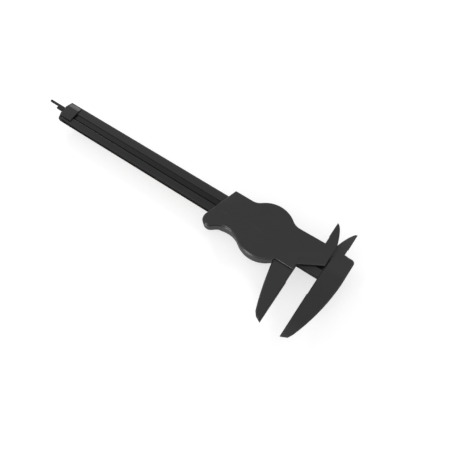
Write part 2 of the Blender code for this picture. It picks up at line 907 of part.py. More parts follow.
def make_dial_boss(body):
    """The ring that carries the bezel, the pillars of the bridge and the hole for the bush."""
    inner = boss_radius - boss_wall
    groove = boss_radius - spring_groove_depth
    top = body_front + overlap
    bottom = boss_low()
    groove_top = spring_middle() + spring_groove_height / 2
    groove_bottom = groove_top - spring_groove_height
    profile = [(boss_radius, top), (boss_radius, groove_top), (groove, groove_top), (groove, groove_bottom),
               (boss_radius, groove_bottom), (boss_radius, bottom), (inner, bottom), (inner, top)]
    ring = turned(profile, steps_round, True)
    ring.transform(Matrix.Translation((-dial_x, 0, 0)))
    join(body, ring)
    for centre in bridge_screw_places():
        join(body, cylinder(centre, bridge_width / 2, body_front - bridge_rise, top))
        cut(body, cylinder(centre, small_screw_shank + fit_gap, body_front - bridge_rise - overrun,
                           bridge_screw_end() + fit_gap))
    cut(body, cylinder(dial_centre(), bush_radius + fit_gap, body_front - overrun, floor_back + overrun))


def boss_low():
    return lip_thickness + crystal_recess + crystal_height + seam_gap + dial_plate_thickness + running_gap


def spring_middle():
    return (body_front + boss_low()) / 2


def bridge_screw_end():
    return body_front + small_screw_bite


def arm_bevel_cutter():
    """Slopes the arm's back down towards its slanted lower edge."""
    step = -body_setback - arm_step_inset
    rise = arm_bevel_depth / arm_bevel_rise
    run = arm_slope_drop / (arm_reach + body_setback)
    across = (step, arm_reach + overrun)
    along = (slope_rise(step) - arm_step_inset, arm_bevel_rise + overrun)
    point = (arm_reach, arm_slope_end, cover_outer - arm_bevel_depth)
    return slope_cutter(across, along, arm_bevel_depth + arm_reach, point, (-rise * run, rise))


def arm_edge_cutter():
    """Bevels the arm's right edge."""
    left = arm_reach - arm_edge_width
    rise = arm_edge_depth / arm_edge_width
    along = (arm_slope_end + arm_edge_width, nib_root)
    return slope_cutter((left, arm_reach + overrun), along, cover_thickness + overrun,
                        (left, 0, cover_outer), (-rise, 0))


def make_back_cover():
    """The cover plate with the arm and the moving nib, its screw pegs, the rod's peg and its ribs."""
    shell = plate(cover_outline(), cover_inner, cover_outer, cover_edge)
    cover = node("back_cover", shell, plastic("back_cover"), slider)
    cut(cover, arm_bevel_cutter())
    cut(cover, arm_edge_cutter())
    inside = cover_inner + cover_edge
    bore_low = cover_peg_low() - overrun
    bore_high = cover_screw_end() + fit_gap
    for centre in cover_screw_places().values():
        join(cover, cylinder(centre, cover_peg_radius, cover_peg_low(), inside))
        cut(cover, cylinder(centre, cover_screw_shank + fit_gap, bore_low, bore_high))
    join(cover, cylinder(rod_peg_centre(), rod_peg_radius, rod_peg_low(), inside))
    for side in (-1, 1):
        middle = side * (half_beam - cover_rib_inset)
        sides = (middle - cover_rib_width / 2, middle + cover_rib_width / 2)
        join(cover, block((rod_stop, -cover_rib_right), sides, (beam_back + running_gap, inside)))


def rod_top():
    return beam_back - rod_sink


def rod_sides():
    middle = -rod_shift
    return middle - rod_width / 2, middle + rod_width / 2


def rod_peg_centre():
    return (rod_stop + rod_anchor_length / 2, -rod_shift)


def rod_peg_low():
    return rod_top() - rod_thickness / 2


def make_depth_rod():
    """A flat blade in the beam's back groove, its end flush with the beam's when the jaws are shut."""
    lower, upper = rod_sides()
    anchor_right = rod_stop + rod_anchor_length
    step = -beam_end + rod_tip_length
    outline = [(-beam_end, upper - rod_tip_width), (step, upper - rod_tip_width), (step, lower),
               (anchor_right, lower), (anchor_right, upper), (-beam_end, upper)]
    blade = plate(outline, rod_top() - rod_thickness, rod_top())
    rod = node("depth_rod", blade, plastic("depth_rod"), slider)
    join(rod, block((rod_stop, anchor_right), (lower, upper), (rod_peg_low(), cover_inner - seam_gap)))
    hole_low = rod_peg_low() - fit_gap
    cut(rod, cylinder(rod_peg_centre(), rod_peg_radius + fit_gap, hole_low, cover_inner + overrun))


def make_gib():
    """The brass strip that the spring presses against the beam."""
    low, high = guide_heights()
    inner = half_beam - side_groove_depth + running_gap
    mesh = block((-gib_left, -gib_right), (inner, inner + gib_thickness), (low, high))
    node("gib_strip", mesh, brass("gib_strip"), slider)


def make_gib_spring():
    """A bowed leaf between the gib and the bottom of its pocket."""
    low, high = guide_heights()
    back = channel + gib_pocket_depth - seam_gap - gib_spring_thickness
    left = -gib_left + seam_gap
    right = -gib_right - seam_gap
    pull = ((left + right) / 2, back - 2 * gib_spring_bow)
    front = bow((left, back), pull, (right, back), spring_bow_steps)
    rear = [(x, y + gib_spring_thickness) for x, y in reversed(front)]
    centre = (low + high) / 2
    mesh = plate(front + rear, centre - gib_spring_height / 2, centre + gib_spring_height / 2)
    node("gib_spring", mesh, spring_steel("gib_spring"), slider)


def make_cover_screws():
    for name, centre in cover_screw_places().items():
        low = body_front + fit_gap
        make_screw(name, centre, cover_screw_head, low, low + cover_screw_head_height, cover_screw_shank,
                   cover_screw_end(), slider)


def bridge_high():
    return body_front - bridge_rise - fit_gap


def bridge_low():
    return bridge_high() - bridge_thickness


def make_bridge():
    """The plate over the arbor, on two pillars of the body."""
    radius = bridge_width / 2
    reach = bridge_half_length - radius
    outline = arc((reach, 0), radius, -math.pi / 2, math.pi / 2, bridge_steps)
    outline += arc((-reach, 0), radius, math.pi / 2, 1.5 * math.pi, bridge_steps)
    plank = plate(outline, bridge_low(), bridge_high())
    bridge = node("movement_bridge", plank, brass("movement_bridge"), slider, (-dial_x, 0, 0))
    low = bridge_low() - overrun
    high = bridge_high() + overrun
    cut(bridge, cylinder((0, 0), bush_radius + fit_gap, low, high))
    for x in (-reach, reach):
        cut(bridge, cylinder((x, 0), small_screw_shank + fit_gap, low, high))
    for name, centre in zip(("bridge_screw_left", "bridge_screw_right"), bridge_screw_places()):
        head_high = bridge_low() - fit_gap / 2
        make_screw(name, centre, small_screw_head, head_high - small_screw_head_height, head_high,
                   small_screw_shank, bridge_screw_end(), slider)


def make_bushes():
    """The arbor's bearings: a flanged one in the body's floor and a plain one in the bridge."""
    bore = arbor_radius + fit_gap
    flange = bush_radius + bush_flange
    flange_high = body_front - fit_gap
    flange_low = flange_high - bush_flange_thickness
    inner = [(bush_radius, floor_back), (bush_radius, flange_high), (flange, flange_high),
             (flange, flange_low), (bore, flange_low), (bore, floor_back)]
    place = (-dial_x, 0, 0)
    node("inner_bush", turned(inner, steps_small, True), brass("inner_bush"), slider, place, smooth_angle)
    high = bridge_high() - fit_gap
    low = bridge_low() - fit_gap
    outer = [(bush_radius, high), (bush_radius, low), (bore, low), (bore, high)]
    node("outer_bush", turned(outer, steps_small, True), brass("outer_bush"), slider, place, smooth_angle)


def make_bezel_spring():
    """A split wire ring, half in the boss's groove and half in the bezel's."""
    middle = (boss_radius + bezel_bore) / 2
    curve = bpy.data.curves.new("spring", "CURVE")
    curve.dimensions = "3D"
    curve.bevel_depth = spring_wire_radius
    curve.bevel_resolution = 1
    curve.use_fill_caps = True
    spline = curve.splines.new("POLY")
    spline.points.add(spring_steps)
    for i, point in enumerate(spline.points):
        angle = spring_gap_angle / 2 + (math.tau - spring_gap_angle) * i / spring_steps
        point.co = (middle * math.cos(angle), middle * math.sin(angle), spring_middle(), 1)
    holder = bpy.data.objects.new("spring", curve)
    cutters.objects.link(holder)
    mesh = mesh_of(holder)
    bpy.data.objects.remove(holder, do_unlink=True)
    node("bezel_spring", mesh, spring_steel("bezel_spring"), slider, (-dial_x, 0, 0), wire_smooth_angle)


# Bezel pieces, turned about the dial's axis

def knurl_outline():
    """The bezel's grip: shallow flats cut into its round."""
    valley = bezel_radius - knurl_depth
    points = []
    for i in range(knurl_count):
        for share, radius in zip(knurl_shares, (bezel_radius, bezel_radius, valley, valley)):
            angle = math.tau * (i + share) / knurl_count
            points.append((radius * math.cos(angle), radius * math.sin(angle)))
    return points


def make_bezel():
    """The turning ring: it holds the crystal by its lip and runs on the body's boss."""
    cavity = crystal_radius + seam_gap
    groove = bezel_bore + spring_groove_depth / 2
    shoulder = boss_low() - running_gap
    groove_top = spring_middle() + spring_groove_height / 2
    groove_bottom = groove_top - spring_groove_height
    top = bezel_height + overrun
    flare = bezel_corner / 2
    hollow = [(0, top), (bezel_bore, top), (bezel_bore, groove_top), (groove, groove_top),
              (groove, groove_bottom), (bezel_bore, groove_bottom), (bezel_bore, shoulder),
              (cavity, shoulder), (cavity, lip_thickness), (window_radius, lip_thickness),
              (window_radius, flare), (window_radius + 2 * bezel_corner, -flare), (0, -flare)]
    ring = plate(knurl_outline(), 0, bezel_height, bezel_corner / 2)
    bezel = node("bezel", ring, plastic("bezel"), bezel_axis)
    cut(bezel, turned(hollow, steps_round, False))


def make_crystal():
    """A clear cup whose face stands in the bezel's window and whose wall carries the dial plate."""
    low = lip_thickness + seam_gap
    top = lip_thickness + crystal_recess + crystal_height
    face = window_radius - crystal_clearance
    inner = crystal_radius - crystal_wall
    floor = low + crystal_floor
    profile = [(0, floor), (inner, floor), (inner, top), (crystal_radius, top), (crystal_radius, low),
               (face, low), (face, crystal_recess), (0, crystal_recess)]
    clear = material("crystal_clear", clear_colour, clear_roughness, 0.0, clear_alpha)
    node("crystal", turned(profile, steps_round, False), clear, bezel_axis, smooth=smooth_angle)


def make_dial_plate():
    """The dial, a thin ring that lies on the crystal's wall."""
    low = lip_thickness + crystal_recess + crystal_height + seam_gap
    high = low + dial_plate_thickness
    profile = [(crystal_radius, high), (crystal_radius, low), (dial_plate_hole, low), (dial_plate_hole, high)]
    finish = material("dial_plate_enamel", dial_colour, dial_roughness, 0.0)
    node("dial_plate", turned(profile, steps_round, True), finish, bezel_axis, smooth=smooth_angle)


# Pointer pieces, on the arbor

def pointer_high():
    return lip_thickness + crystal_recess + crystal_height - running_gap


def make_arbor():
    """The stepped shaft that carries the pinion at one end and the pointer at the other."""
    pinion_low, pinion_high = pinion_heights()
    collar_low = bridge_high()
    collar_high = collar_low + bush_flange_thickness / 2
    shoulder = bridge_low() - 2 * fit_gap
    end = pointer_high() - pointer_thickness - hub_cap
    profile = [(0, pinion_high), (arbor_radius, pinion_high), (arbor_radius, collar_high),
               (arbor_collar_radius, collar_high), (arbor_collar_radius, collar_low),
               (arbor_radius, collar_low), (arbor_radius, shoulder), (arbor_tip_radius, shoulder),
               (arbor_tip_radius, end), (0, end)]
    finish = steel("pointer_arbor")
    node("pointer_arbor", turned(profile, steps_small, False), finish, pointer_axis, smooth=smooth_angle)


def pinion_heights():
    low = beam_front + running_gap
    return low, low + pinion_length


def tooth_flank(radius):
    """Half the angle that a tooth takes at a radius, from the involute of the base circle."""
    base = pitch_radius * math.cos(pressure_angle)
    at_pitch = math.pi / (2 * pinion_teeth) - mesh_clearance / (4 * pitch_radius)
    roll_pitch = math.tan(pressure_angle) - pressure_angle
    if radius <= base:
        return at_pitch + roll_pitch
    angle = math.acos(base / radius)
    return at_pitch + roll_pitch - (math.tan(angle) - angle)


def make_pinion():
    """The small gear on the arbor, which rolls along the rack."""
    low, high = pinion_heights()
    root = pitch_radius - dedendum_share * module
    outer = pinion_outer_radius()
    radii = [root, pitch_radius * math.cos(pressure_angle), pitch_radius, outer]
    outline = []
    for tooth in range(pinion_teeth):
        middle = -math.pi / 2 + math.tau * tooth / pinion_teeth
        rise = [(r, middle - tooth_flank(r)) for r in radii]
        fall = [(r, middle + tooth_flank(r)) for r in reversed(radii)]
        outline += [(r * math.cos(a), r * math.sin(a)) for r, a in rise + fall]
    pinion = node("pinion", plate(outline, low, high), brass("pinion"), pointer_axis)
    cut(pinion, cylinder((0, 0), arbor_radius + fit_gap / 2, low - overrun, high + overrun))


def make_pointer():
    """A tapered hand with a disc on the arbor and a short tail."""
    high = pointer_high()
    low = high - pointer_thickness
    spread = math.asin(pointer_root_width / 2 / pointer_disc)
    outline = [(-pointer_tip_width / 2, pointer_reach)]
    outline += arc((0, 0), pointer_disc, math.pi / 2 + spread, 1.5 * math.pi - spread, disc_steps)
    outline += [(-pointer_root_width / 2, -pointer_tail), (pointer_root_width / 2, -pointer_tail)]
    outline += arc((0, 0), pointer_disc, -math.pi / 2 + spread, math.pi / 2 - spread, disc_steps)
    outline += [(pointer_tip_width / 2, pointer_reach)]
    finish = material("pointer_paint", pointer_colour, paint_roughness, 0.0)
    pointer = node("pointer", plate(outline, low, high), finish, pointer_axis)
    cut(pointer, cylinder((0, 0), hub_neck_radius + fit_gap, low - overrun, high + overrun))


def make_hub():
    """The cap that clamps the hand to the arbor."""
    high = pointer_high()
    low = high - pointer_thickness - fit_gap
    bore = arbor_tip_radius + fit_gap
    profile = [(hub_neck_radius, high), (hub_neck_radius, low), (hub_radius, low),
               (hub_radius, low - hub_cap), (bore, low - hub_cap), (bore, high)]
    finish = brass("pointer_hub")
    node("pointer_hub", turned(profile, steps_small, True), finish, pointer_axis, smooth=smooth_angle)


make_beam()
make_rack()
make_rack_screws()
make_end_clip()
make_slider_body()
make_back_cover()
make_depth_rod()
make_gib()
make_gib_spring()
make_cover_screws()
make_bridge()
make_bushes()
make_bezel_spring()
make_bezel()
make_crystal()
make_dial_plate()
make_arbor()
make_pinion()
make_pointer()
make_hub()
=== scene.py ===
"""Looks for the plastic dial caliper: its materials, dial marks, scale, floor, light and camera."""
import math

import bmesh
import bpy
from mathutils import Matrix, Vector


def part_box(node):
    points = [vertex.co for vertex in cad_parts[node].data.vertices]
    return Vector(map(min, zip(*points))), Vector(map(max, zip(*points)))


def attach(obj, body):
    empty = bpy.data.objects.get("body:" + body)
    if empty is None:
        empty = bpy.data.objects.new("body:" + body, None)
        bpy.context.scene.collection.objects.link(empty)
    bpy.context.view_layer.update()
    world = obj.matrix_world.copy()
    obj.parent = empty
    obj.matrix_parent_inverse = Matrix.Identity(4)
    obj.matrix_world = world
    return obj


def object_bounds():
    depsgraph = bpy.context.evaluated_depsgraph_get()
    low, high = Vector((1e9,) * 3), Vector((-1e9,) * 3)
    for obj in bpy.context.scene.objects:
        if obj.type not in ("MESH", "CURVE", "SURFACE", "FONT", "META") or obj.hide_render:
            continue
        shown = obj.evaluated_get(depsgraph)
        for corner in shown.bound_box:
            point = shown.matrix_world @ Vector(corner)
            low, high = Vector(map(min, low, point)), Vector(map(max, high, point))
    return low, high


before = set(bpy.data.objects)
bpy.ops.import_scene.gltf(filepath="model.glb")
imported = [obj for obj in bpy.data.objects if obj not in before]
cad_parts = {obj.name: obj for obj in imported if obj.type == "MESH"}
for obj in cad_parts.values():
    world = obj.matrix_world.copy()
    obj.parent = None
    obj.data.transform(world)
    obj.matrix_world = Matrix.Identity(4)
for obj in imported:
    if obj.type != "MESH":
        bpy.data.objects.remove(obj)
cad_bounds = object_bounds()
scene = bpy.context.scene
scene.view_settings.view_transform = "Standard"

# Camera, from the fit to the photograph's outline
camera_place = Vector((0.12480, -0.08285, 0.28818))
camera_aim = Vector((0.04389, -0.00069, 0.01577))
camera_up = Vector((-0.5064, 0.7724, 0.3834))
camera_lens = 37.30
sensor_width = 36.0
camera_near = 0.01

# Light: a key behind the beam's far end, a low fill from the jaws' side and an even sky
key_place = Vector((-0.98, 0.82, 0.75))
key_size = 0.40
key_power = 6.0
fill_place = Vector((-0.30, -1.30, 0.36))
fill_size = 0.60
fill_power = 8.0
sky_level = 0.68
floor_size = 3.0
floor_tone = 0.55
floor_lift = 0.60
floor_roughness = 0.9
floor_gloss = 0.1

# Places in the shared frame, read from the pieces that carry them
beam_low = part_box("beam")[0]
dial_low, dial_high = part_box("dial_plate")
dial_centre = (dial_low + dial_high) / 2
dial_face_z = dial_low.z
cover_face_z = cad_bounds[1][2]
jaw_face_x = 0.10940
slider_setback = 0.0008

# Print: the height of marks and numbers, the gap at which a number's points are joined, and its curves
mark_thickness = 0.00003
weld_share = 0.05
curve_steps = 3

# Dial marks: one turn is 10 mm, so a division is 0.1 mm
dial_divisions = 100
dial_numbers = 10
dial_mark_outer = 0.0134
dial_mark_sizes = {10: (0.0022, 0.00024), 5: (0.0017, 0.00018), 1: (0.0011, 0.00011)}
dial_number_radius = 0.0096
dial_number_size = 0.0027

# Scale on the beam: a mark each millimetre, a number each ten
scale_count = 150
scale_step = 0.001
scale_number_step = 10
scale_edge_y = 0.0179
scale_mark_sizes = {10: (0.0026, 0.00020), 5: (0.0020, 0.00016), 1: (0.0013, 0.00013)}
scale_number_drop = 0.0036
scale_number_size = 0.0017

# Black plastic: each finish's tone, gloss, roughness on flat faces and on walls, and edge wear, which also
# paints a highlight along the edges
black = (0.0105, 0.0105, 0.0108)
plastic_finishes = {
    "cover": (1.05, 0.38, 0.28, 0.38, 1.0),
    "body": (1.0, 0.38, 0.28, 0.58, 0.8),
    "beam": (1.0, 0.25, 0.28, 0.92, 0.4),
    "clip": (0.67, 0.25, 0.40, 0.60, 0.6),
    # The depth rod's low tone is painted shade, for its place down in the beam's groove
    "rod": (0.35, 0.20, 0.40, 0.60, 0.4),
    "bezel": (0.95, 0.45, 0.38, 0.50, 0.8),
}

# Painted light and shade on the beam, where its tone changes: over the rod's groove, from its rails to its
# head, and towards its tips; the tone stands in for how the light falls
rail_y_range = (0.0085, 0.0125)
rail_painted_light_and_shade_tones = (0.95, 1.50)
head_x_range = (0.098, 0.108)
head_painted_light = 0.80
nib_y_range = (0.0235, 0.0385)
nib_painted_highlight = 2.0
jaw_y_range = (-0.0385, -0.0260)
jaw_painted_highlight = 1.0

# Scuffs on the cover: middle, half length and half width, turn and strength
scuff_depth = 0.0010
cover_scuffs = [
    ((0.0380, 0.0063), (0.0052, 0.0007), 0.09, 0.7),
    ((0.0626, 0.0085), (0.0038, 0.0009), 0.10, 0.9),
    ((0.0350, 0.0134), (0.0060, 0.0045), 0.40, 0.25),
]
rub_size = 0.0008
rub_shares = (3, 1, 1)
rub_range = (0.35, 0.60)
rub_strengths = (0.4, 1.0)
scuff_fade_range = (0.2, 1.0)

# Ranges of a noise's values that are spread over another range
wide_range = (0.2, 0.8)
middle_range = (0.3, 0.7)
narrow_range = (0.35, 0.65)

# Noise, edges and walls: detail of a noise, its even stretch, samples, and where an edge or a wall begins
noise_detail = 2.0
even_shares = (1, 1, 1)
edge_samples = 8
edge_range = (0.55, 0.95)
bevel_samples = 6
wall_range = (0.3, 0.7)

# Scratches: detail, where a line and a worn patch begin, and a patch's size as a share of the length
scratch_detail = 1.0
scratch_line_range = (0.70, 0.76)
scratch_patch_range = (0.50, 0.62)
scratch_patch_share = 2

# Plastic's texture: flow marks, speckle, worn edges that are also a painted highlight, and scratches, each
# scratch by length, width and turn
flow_size = 0.030
flow_shares = (2, 1, 1)
flow_tone = 0.10
flow_roughness = 0.3
speckle_size = 0.00030
speckle_tone = 0.10
worn_width = 0.00060
worn_patch_size = 0.004
worn_least = 0.3
worn_edge_and_highlight_tone = 1.6
worn_roughness = -0.06
plastic_scratches = [(0.020, 0.00022, 0.5), (0.012, 0.00018, -0.9)]
scratch_tone = 0.5
scratch_roughness = -0.05

# Metal's texture: tool lines, patches of tarnish, bright edges and a bump
brass_texture = {
    "line_size": 0.00010, "line_shares": (12, 1, 1), "line_tone": 0.06,
    "patch_size": 0.003, "patch_tones": (-0.14, 0.06),
    "edge_width": 0.00015, "edge_tone": 0.18, "bump": (0.00006, 0.20, 0.00001),
}
steel_texture = {
    "line_size": 0.00008, "line_shares": (1, 10, 1), "line_tone": 0.05,
    "patch_size": 0.002, "patch_tones": (-0.10, 0.05),
    "edge_width": 0.00012, "edge_tone": 0.15, "bump": (0.00005, 0.20, 0.00001),
}
brass_roughness = (0.24, 0.40)
turned_roughness = (0.22, 0.38)
spring_roughness = (0.20, 0.34)

# Print and paint: clouds and grain, and each one's roughness
cloud_size = 0.006
print_grain_size = 0.00012
print_tone = 0.04
print_roughness_change = 0.06
dial_roughness = 0.45
pointer_roughness = 0.35
ink_roughness = 0.40
scale_paint_roughness = 0.50

# The clear window: its index, its roughness from clean to scratched, and its scratches
clear_index = 1.49
clear_roughness = (0.03, 0.25)
clear_scratches = [(0.008, 0.00010, 0.3), (0.006, 0.00010, 1.9)]

# Bumps: the radius of rounded edges, the strength and the depth
plastic_bump = (0.00025, 0.25, 0.00002)
print_bump = (0.00002, 0.15, 0.000008)
clear_bump = (0.00010, 0.10, 0.00001)

# Colours
brass_colour = (0.60, 0.40, 0.15)
steel_colour = (0.50, 0.50, 0.51)
spring_colour = (0.30, 0.31, 0.34)
dial_colour = (0.72, 0.70, 0.63)
ink_colour = (0.015, 0.015, 0.016)
fill_colour = (0.70, 0.69, 0.64)
clear_colour = (0.95, 0.96, 0.96)


def look_from(place, aim, up):
    """A matrix at a place whose -Z axis looks at the aim."""
    forward = (aim - place).normalized()
    right = forward.cross(up).normalized()
    true_up = right.cross(forward)
    turn = Matrix((right, true_up, -forward)).transposed().to_4x4()
    return Matrix.Translation(place) @ turn


def add_camera():
    data = bpy.data.cameras.new("camera")
    data.sensor_width = sensor_width
    data.lens = camera_lens
    data.clip_start = camera_near
    camera = bpy.data.objects.new("camera", data)
    scene.collection.objects.link(camera)
    camera.matrix_world = look_from(camera_place, camera_aim, camera_up)
    scene.camera = camera


def add_light(name, place, size, power):
    data = bpy.data.lights.new(name, "AREA")
    data.shape = "DISK"
    data.size = size
    data.energy = power
    light = bpy.data.objects.new(name, data)
    scene.collection.objects.link(light)
    light.matrix_world = look_from(place, Vector(), Vector((0, 1, 0)))


def add_node(tree, kind, inputs=None, **settings):
    """A shader node; each input is a number, a colour or another node's output."""
    made = tree.nodes.new("ShaderNode" + kind)
    for name, value in settings.items():
        setattr(made, name, value)
    for name, value in (inputs or {}).items():
        socket = made.inputs[name]
        if isinstance(value, bpy.types.NodeSocket):
            tree.links.new(value, socket)
        else:
            socket.default_value = value
    return made


def math_node(tree, operation, first, second=0.0):
    """One sum on two numbers."""
    return add_node(tree, "Math", {0: first, 1: second}, operation=operation).outputs[0]


def seen_directly(tree):
    """1 for rays from the camera, a mirror or glass, 0 for the light that the object receives."""
    rays = add_node(tree, "LightPath")
    seen = math_node(tree, "MAXIMUM", rays.outputs["Is Camera Ray"], rays.outputs["Is Glossy Ray"])
    return math_node(tree, "MAXIMUM", seen, rays.outputs["Is Transmission Ray"])


def add_sky():
    world = bpy.data.worlds.new("studio")
    scene.world = world
    world.use_nodes = True
    tree = world.node_tree
    white = product(tree, seen_directly(tree), 1 - sky_level)
    level = total(tree, white, sky_level)
    background = tree.nodes["Background"]
    background.inputs["Color"].default_value = (1, 1, 1, 1)
    tree.links.new(level, background.inputs["Strength"])


def new_material(name, colour, roughness, metallic=0.0):
    """A Principled material, with its tree and its shader."""
    made = bpy.data.materials.new(name)
    made.use_nodes = True
    tree = made.node_tree
    shader = tree.nodes["Principled BSDF"]
    shader.inputs["Base Color"].default_value = (*colour, 1)
    shader.inputs["Roughness"].default_value = roughness
    shader.inputs["Metallic"].default_value = metallic
    return made, tree, shader


def add_floor():
    """A white floor that keeps the object's shadow and shows white where it is seen."""
    bpy.ops.mesh.primitive_plane_add(size=floor_size, location=(0, 0, 0))
    floor = bpy.context.object
    floor.name = "floor"
    made, tree, shader = new_material("floor_white", (floor_tone,) * 3, floor_roughness)
    shader.inputs["Specular IOR Level"].default_value = floor_gloss
    lift = product(tree, seen_directly(tree), floor_lift)
    glow = add_node(tree, "Emission", {"Color": (1, 1, 1, 1), "Strength": lift})
    both = add_node(tree, "AddShader", {0: shader.outputs["BSDF"], 1: glow.outputs["Emission"]})
    tree.links.new(both.outputs["Shader"], tree.nodes["Material Output"].inputs["Surface"])
    floor.data.materials.append(made)


def noise(tree, size, stretch_shares=even_shares, detail=noise_detail, turn=0.0):
    """Noise from 0 to 1 whose grain is about that size in metres, longer where its share is larger."""
    place = add_node(tree, "TexCoord").outputs["Object"]
    scale = tuple(1 / (size * share) for share in stretch_shares)
    turned = add_node(tree, "Mapping", {"Vector": place, "Rotation": (0, 0, turn)})
    grain = add_node(tree, "Mapping", {"Vector": turned.outputs[0], "Scale": scale})
    inputs = {"Vector": grain.outputs[0], "Scale": 1.0, "Detail": detail}
    return add_node(tree, "TexNoise", inputs).outputs["Fac"]


def fit(tree, value, before, after):
    """A value's range before, spread over the range after and held within it."""
    inputs = {"Value": value, "From Min": before[0], "From Max": before[1],
              "To Min": after[0], "To Max": after[1]}
    return add_node(tree, "MapRange", inputs).outputs[0]


def either_way(amount):
    return -amount, amount


def total(tree, *values):
    """The sum of several numbers."""
    result = values[0]
    for value in values[1:]:
        result = math_node(tree, "ADD", result, value)
    return result


def product(tree, first, second):
    return math_node(tree, "MULTIPLY", first, second)


def toned(tree, colour, tone):
    """A colour made lighter or darker by a changing tone."""
    inputs = {"Vector": colour, "Scale": tone}
    return add_node(tree, "VectorMath", inputs, operation="SCALE").outputs[0]


def convex_edges(tree, width):
    """1 along outer edges, 0 on flat faces."""
    inputs = {"Distance": width}
    inside = add_node(tree, "AmbientOcclusion", inputs, inside=True, only_local=True, samples=edge_samples)
    return fit(tree, inside.outputs["AO"], edge_range, (1.0, 0.0))


def walls(tree):
    """1 on upright walls, 0 on faces that lie flat."""
    normal = add_node(tree, "SeparateXYZ", {"Vector": add_node(tree, "TexCoord").outputs["Normal"]})
    return fit(tree, math_node(tree, "ABSOLUTE", normal.outputs["Z"]), wall_range, (1.0, 0.0))


def scratches(tree, length, width, turn):
    """Sparse thin lines along one direction, worn through in patches."""
    grain = noise(tree, width, (length / width, 1, 1), scratch_detail, turn)
    lines = fit(tree, grain, scratch_line_range, (0.0, 1.0))
    patches = fit(tree, noise(tree, length * scratch_patch_share), scratch_patch_range, (0.0, 1.0))
    return product(tree, lines, patches)


def rounded_normal(tree, height, bump):
    """A bump over edges that are rounded by a small radius."""
    radius, strength, depth = bump
    edge = add_node(tree, "Bevel", {"Radius": radius}, samples=bevel_samples)
    inputs = {"Height": height, "Strength": strength, "Distance": depth, "Normal": edge.outputs["Normal"]}
    return add_node(tree, "Bump", inputs).outputs["Normal"]


def scuff(tree, middle, half_size, turn, strength):
    """A soft oval rubbed mark on the cover's face, broken up by fine grain; 0 outside it."""
    place = add_node(tree, "TexCoord").outputs["Object"]
    inputs = {"Vector": place, "Location": (*middle, cover_face_z), "Rotation": (0, 0, turn),
              "Scale": (*half_size, scuff_depth)}
    spot = add_node(tree, "Mapping", inputs, vector_type="TEXTURE")
    away = add_node(tree, "VectorMath", {0: spot.outputs[0]}, operation="LENGTH").outputs["Value"]
    rubbed = fit(tree, noise(tree, rub_size, rub_shares), rub_range, rub_strengths)
    return product(tree, fit(tree, away, scuff_fade_range, (strength, 0.0)), rubbed)


def beam_shade(tree):
    """The beam's painted light and shade: its tone painted darker along its rails, lighter on its head and
    towards its tips.
    """
    place = add_node(tree, "SeparateXYZ", {"Vector": add_node(tree, "TexCoord").outputs["Object"]}).outputs
    rails = fit(tree, place["Y"], rail_y_range, rail_painted_light_and_shade_tones)
    head = fit(tree, place["X"], head_x_range, (0.0, head_painted_light))
    nib = fit(tree, place["Y"], nib_y_range, (0.0, nib_painted_highlight))
    jaw = fit(tree, place["Y"], jaw_y_range, (jaw_painted_highlight, 0.0))
    return total(tree, rails, head, nib, jaw)


def finish_surface(tree, shader, colour, tones, roughness, normal):
    """Links a material's changing colour, roughness and normal to its shader."""
    tree.links.new(toned(tree, colour, tones), shader.inputs["Base Color"])
    tree.links.new(roughness, shader.inputs["Roughness"])
    tree.links.new(normal, shader.inputs["Normal"])


def moulded_plastic(name, finish, shade=None, scuffs=()):
    """Black moulded plastic: fine grain, slow flow marks, light scratches, and edges worn smooth and painted
    lighter, partly wear and partly a painted highlight.
    """
    tone, gloss, roughness, wall_roughness, wear = plastic_finishes[finish]
    made, tree, shader = new_material(name, black, roughness)
    shader.inputs["Specular IOR Level"].default_value = gloss
    flow = fit(tree, noise(tree, flow_size, flow_shares), middle_range, either_way(flow_tone))
    grain = noise(tree, speckle_size)
    speckle = fit(tree, grain, middle_range, either_way(speckle_tone))
    patches = fit(tree, noise(tree, worn_patch_size), narrow_range, (worn_least, wear))
    # Lighter edges: partly wear, partly a painted highlight along the rounded edges
    worn = product(tree, convex_edges(tree, worn_width), patches)
    lines = total(tree, *[scratches(tree, *scratch) for scratch in plastic_scratches])
    rubs = [scuff(tree, *mark) for mark in scuffs]
    marks = (product(tree, worn, worn_edge_and_highlight_tone), product(tree, lines, scratch_tone))
    tones = total(tree, tone, flow, speckle, *marks, *rubs)
    # Painted light and shade by place, where a finish is given one
    if shade:
        tones = product(tree, tones, shade(tree))
    changes = (product(tree, flow, flow_roughness), product(tree, worn, worn_roughness),
               product(tree, lines, scratch_roughness))
    dull = total(tree, fit(tree, walls(tree), (0.0, 1.0), (roughness, wall_roughness)), *changes)
    finish_surface(tree, shader, black, tones, dull, rounded_normal(tree, grain, plastic_bump))
    return made


def metal(name, colour, roughness, line_size, line_shares, line_tone, patch_size, patch_tones, edge_width,
          edge_tone, bump):
    """Rolled, turned or drawn metal: fine tool lines, patches of tarnish and bright edges."""
    made, tree, shader = new_material(name, colour, roughness[0], 1.0)
    lines = noise(tree, line_size, line_shares)
    patches = fit(tree, noise(tree, patch_size), narrow_range, patch_tones)
    worn = product(tree, convex_edges(tree, edge_width), edge_tone)
    tones = total(tree, 1.0, patches, worn, fit(tree, lines, middle_range, either_way(line_tone)))
    dull = fit(tree, lines, wide_range, roughness)
    finish_surface(tree, shader, colour, tones, dull, rounded_normal(tree, lines, bump))
    return made


def printed(name, colour, roughness):
    """A printed or painted film: faint grain in its colour and its gloss."""
    made, tree, shader = new_material(name, colour, roughness)
    cloud = fit(tree, noise(tree, cloud_size), middle_range, either_way(print_tone))
    grain = noise(tree, print_grain_size)
    tones = total(tree, 1.0, cloud, fit(tree, grain, middle_range, either_way(print_tone)))
    reach = (roughness - print_roughness_change, roughness + print_roughness_change)
    dull = fit(tree, grain, wide_range, reach)
    finish_surface(tree, shader, colour, tones, dull, rounded_normal(tree, grain, print_bump))
    return made


